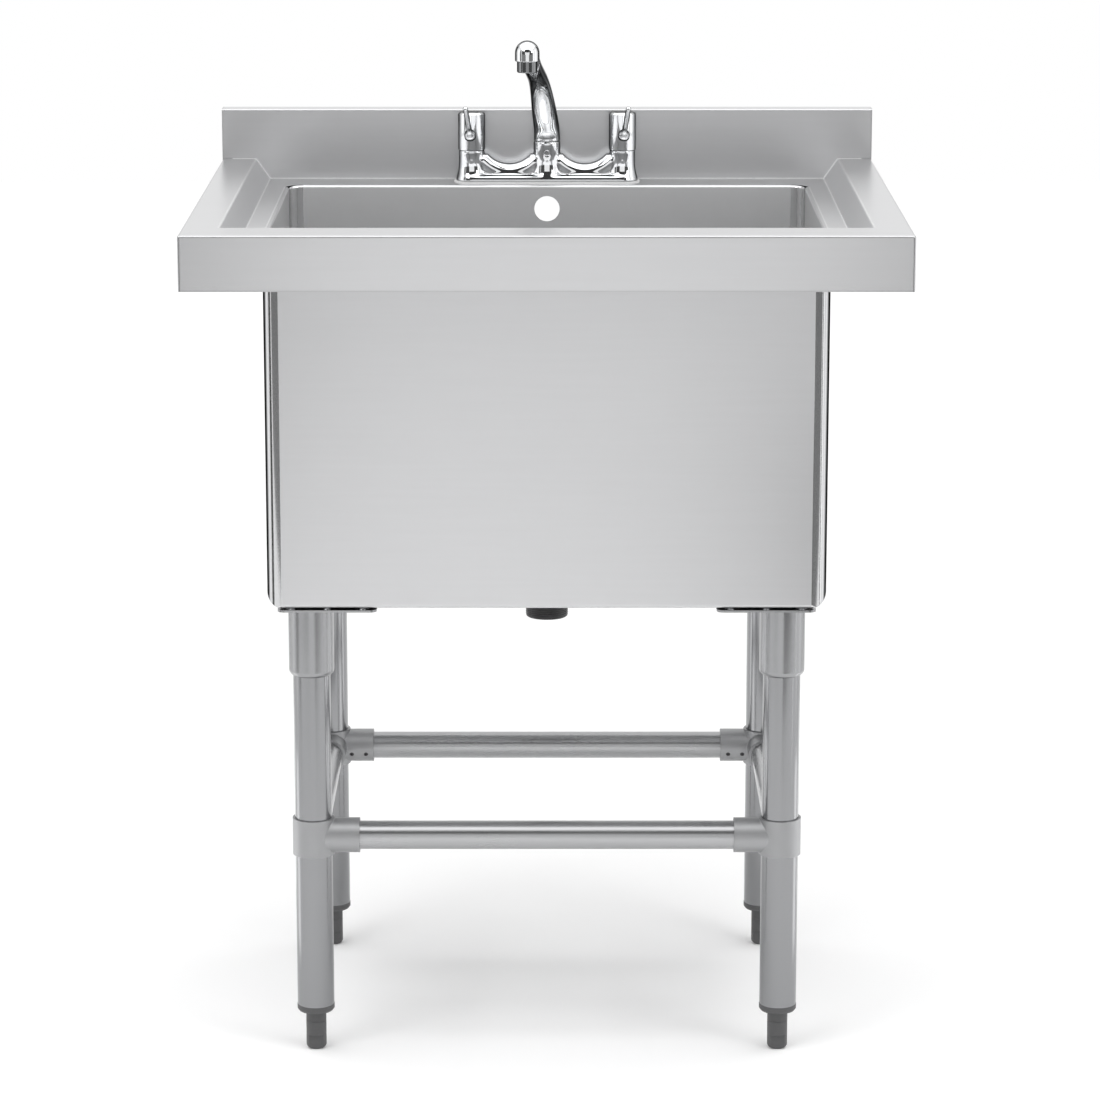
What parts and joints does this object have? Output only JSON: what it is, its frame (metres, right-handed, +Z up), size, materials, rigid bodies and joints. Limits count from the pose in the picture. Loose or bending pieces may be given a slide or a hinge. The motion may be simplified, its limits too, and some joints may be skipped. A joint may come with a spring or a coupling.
{
  "type": "free-standing deep utility sink",
  "caption": "Free-standing stainless steel deep sink: folded rim and upstand, rectangular bowl, tube stand with corner connectors and screw feet, and a swivel deck mixer with lever handles.",
  "frame": {"origin": "on the floor, under the middle of the sink top's outline", "axes": "+Z up; +X to the right as seen from the front, along the front apron; the front faces -Y and the upstand is at +Y"},
  "size_m": [0.78, 0.65, 1.099],
  "materials": {
    "brushed_sheet": "fine horizontal brushed grain",
    "satin_plate": "satin",
    "satin_tube": "satin, drawn tube",
    "cast_connector": "matte cast surface",
    "plain_steel": "dull zinc",
    "grey_plastic": "fine matte",
    "polished_steel": "polished",
    "black_plastic": "matte",
    "black_rubber": "matte",
    "pale_gasket": "pale translucent grey",
    "brass": "turned",
    "dark_plastic": "matte",
    "chrome": "mirror"
  },
  "bodies": {
    "sink": {"bowl": "brushed_sheet", "connector_grub_screws": "plain_steel", "corner_connector_back_left": "cast_connector", "corner_connector_back_right": "cast_connector", "corner_connector_front_left": "cast_connector", "corner_connector_front_right": "cast_connector", "foot_insert_back_left": "grey_plastic", "foot_insert_back_right": "grey_plastic", "foot_insert_front_left": "grey_plastic", "foot_insert_front_right": "grey_plastic", "leg_plate_back_left": "satin_plate", "leg_plate_back_right": "satin_plate", "leg_plate_front_left": "satin_plate", "leg_plate_front_right": "satin_plate", "leg_socket_back_left": "satin_plate", "leg_socket_back_right": "satin_plate", "leg_socket_front_left": "satin_plate", "leg_socket_front_right": "satin_plate", "leg_tube_back_left": "satin_tube", "leg_tube_back_right": "satin_tube", "leg_tube_front_left": "satin_tube", "leg_tube_front_right": "satin_tube", "rail_back": "satin_tube", "rail_front": "satin_tube", "rail_left": "satin_tube", "rail_right": "satin_tube", "sink_top": "brushed_sheet", "socket_grub_screws": "plain_steel", "spout_screw": "chrome", "tap_backnuts": "brass", "tap_body": "chrome", "tap_gasket": "pale_gasket", "tap_tails": "brass", "tap_washers": "black_rubber", "valve_cartridge_left": "brass", "valve_cartridge_right": "brass", "waste_body": "black_plastic", "waste_lower_seal": "black_rubber", "waste_screw": "polished_steel", "waste_strainer": "polished_steel", "waste_upper_seal": "black_rubber"},
    "spout": {"spout": "chrome", "spout_seals": "black_rubber", "aerator_shell": "chrome", "aerator_insert": "dark_plastic"},
    "lever_left": {"lever_handle_left": "chrome", "valve_spindle_left": "brass", "handle_screw_left": "chrome", "handle_cap_left": "chrome"},
    "lever_right": {"lever_handle_right": "chrome", "valve_spindle_right": "brass", "handle_screw_right": "chrome", "handle_cap_right": "chrome"},
    "foot_front_left": {"adjustable_foot_front_left": "grey_plastic"},
    "foot_front_right": {"adjustable_foot_front_right": "grey_plastic"},
    "foot_back_left": {"adjustable_foot_back_left": "grey_plastic"},
    "foot_back_right": {"adjustable_foot_back_right": "grey_plastic"}
  },
  "joints": [
    {"name": "spout_swivel", "type": "hinge", "parent": "sink", "child": "spout", "pos_m": [0, 0.275, 0.965], "axis": [0, 0, 1], "range_deg": [-81, 99]},
    {"name": "lever_left_turn", "type": "hinge", "parent": "sink", "child": "lever_left", "pos_m": [-0.09, 0.275, 0.954], "axis": [0, 0, -1], "range_deg": [0, 90]},
    {"name": "lever_right_turn", "type": "hinge", "parent": "sink", "child": "lever_right", "pos_m": [0.09, 0.275, 0.954], "axis": [0, 0, 1], "range_deg": [0, 90]},
    {"name": "foot_front_left_level", "type": "slide", "parent": "sink", "child": "foot_front_left", "axis": [0, 0, -1], "range_m": [0, 0.025]},
    {"name": "foot_front_right_level", "type": "slide", "parent": "sink", "child": "foot_front_right", "axis": [0, 0, -1], "range_m": [0, 0.025]},
    {"name": "foot_back_left_level", "type": "slide", "parent": "sink", "child": "foot_back_left", "axis": [0, 0, -1], "range_m": [0, 0.025]},
    {"name": "foot_back_right_level", "type": "slide", "parent": "sink", "child": "foot_back_right", "axis": [0, 0, -1], "range_m": [0, 0.025]}
  ]
}
